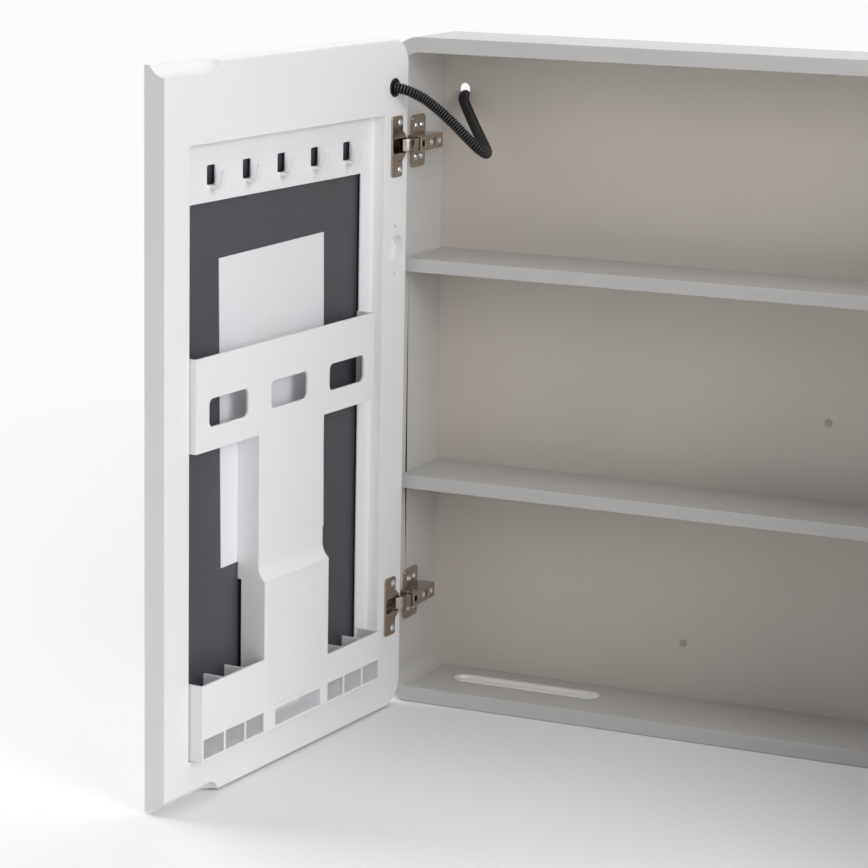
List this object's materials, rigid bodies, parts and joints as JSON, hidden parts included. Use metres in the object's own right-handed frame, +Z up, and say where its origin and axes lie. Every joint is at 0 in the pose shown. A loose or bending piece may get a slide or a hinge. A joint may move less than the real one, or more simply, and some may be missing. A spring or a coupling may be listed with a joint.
{
  "type": "mirror cabinet",
  "caption": "Wall-hung cabinet with hinged mirror doors, shelves and downlights, and a lighted band, hooks and a clip-in organizer in each door.",
  "frame": {"origin": "midway between the two hanging holes, on the wall plane", "axes": "+X to the right as seen from the front, +Y towards the wall, +Z up"},
  "size_m": [0.9622, 0.5658, 0.7],
  "materials": {
    "carcass_lacquer": "satin grey lacquer on board",
    "back_board": "matt warm grey board",
    "door_moulding": "satin white moulding",
    "organizer_moulding": "satin white moulding",
    "inset_plate": "fine matt off-white",
    "mirror_glass": "silvered glass",
    "mirror_back": "dark grey backing paint",
    "hinge_nickel": "nickel plate",
    "screw_steel": "bright zinc",
    "hanger_steel": "zinc plate",
    "dowel_steel": "turned steel",
    "conduit_black": "black corrugated plastic",
    "grommet_black": "black rubber",
    "downlight_white": "gloss white",
    "downlight_opal": "opal",
    "diffuser_opal": "opal",
    "led_board": "white board",
    "led_driver": "white case",
    "demister_film": "white film",
    "label_paper": "bare paper",
    "cap_beige": "beige",
    "spacer_rubber": "grey rubber"
  },
  "bodies": {
    "cabinet": {"left_side_panel": "carcass_lacquer", "right_side_panel": "carcass_lacquer", "top_panel": "carcass_lacquer", "bottom_panel": "carcass_lacquer", "lower_left_corner": "carcass_lacquer", "upper_left_corner": "carcass_lacquer", "lower_right_corner": "carcass_lacquer", "upper_right_corner": "carcass_lacquer", "back_panel": "back_board", "back_panel_screws": "screw_steel", "screw_caps": "cap_beige", "upper_shelf": "carcass_lacquer", "lower_shelf": "carcass_lacquer", "shelf_dowels": "dowel_steel", "downlight_bezels": "downlight_white", "downlight_covers": "downlight_opal", "hanger_plates": "hanger_steel", "hanger_screws": "screw_steel", "wall_spacers": "spacer_rubber", "left_mounting_plates": "hinge_nickel", "left_plate_screws": "screw_steel", "left_hinge_arms": "hinge_nickel", "left_adjusting_screws": "screw_steel", "left_hinge_links": "hinge_nickel", "left_conduit": "conduit_black", "right_mounting_plates": "hinge_nickel", "right_plate_screws": "screw_steel", "right_hinge_arms": "hinge_nickel", "right_adjusting_screws": "screw_steel", "right_hinge_links": "hinge_nickel", "right_conduit": "conduit_black"},
    "left_door": {"left_door_shell": "door_moulding", "left_mirror": "mirror_glass", "left_led_board": "led_board", "left_led_driver": "led_driver", "left_light_diffuser": "diffuser_opal", "left_demister_pad": "demister_film", "left_pad_label": "label_paper", "left_organizer": "organizer_moulding", "left_organizer_plate": "inset_plate", "left_conduit_grommet": "grommet_black", "left_hinge_cups": "hinge_nickel", "left_cup_screws": "screw_steel", "left_hinge_pins": "screw_steel"},
    "right_door": {"right_door_shell": "door_moulding", "right_mirror": "mirror_glass", "right_led_board": "led_board", "right_led_driver": "led_driver", "right_light_diffuser": "diffuser_opal", "right_demister_pad": "demister_film", "right_pad_label": "label_paper", "right_organizer": "organizer_moulding", "right_organizer_plate": "inset_plate", "right_conduit_grommet": "grommet_black", "right_hinge_cups": "hinge_nickel", "right_cup_screws": "screw_steel", "right_hinge_pins": "screw_steel"}
  },
  "joints": [
    {"name": "left_door_swing", "type": "hinge", "parent": "cabinet", "child": "left_door", "pos_m": [-0.4391, -0.1285, -0.322], "axis": [0, 0, 1], "range_deg": [-4.6, 94.4], "deforming": ["left_conduit"]},
    {"name": "right_door_swing", "type": "hinge", "parent": "cabinet", "child": "right_door", "pos_m": [0.4391, -0.1285, -0.322], "axis": [0, 0, -1], "range_deg": [-4.6, 94.4], "deforming": ["right_conduit"]}
  ]
}
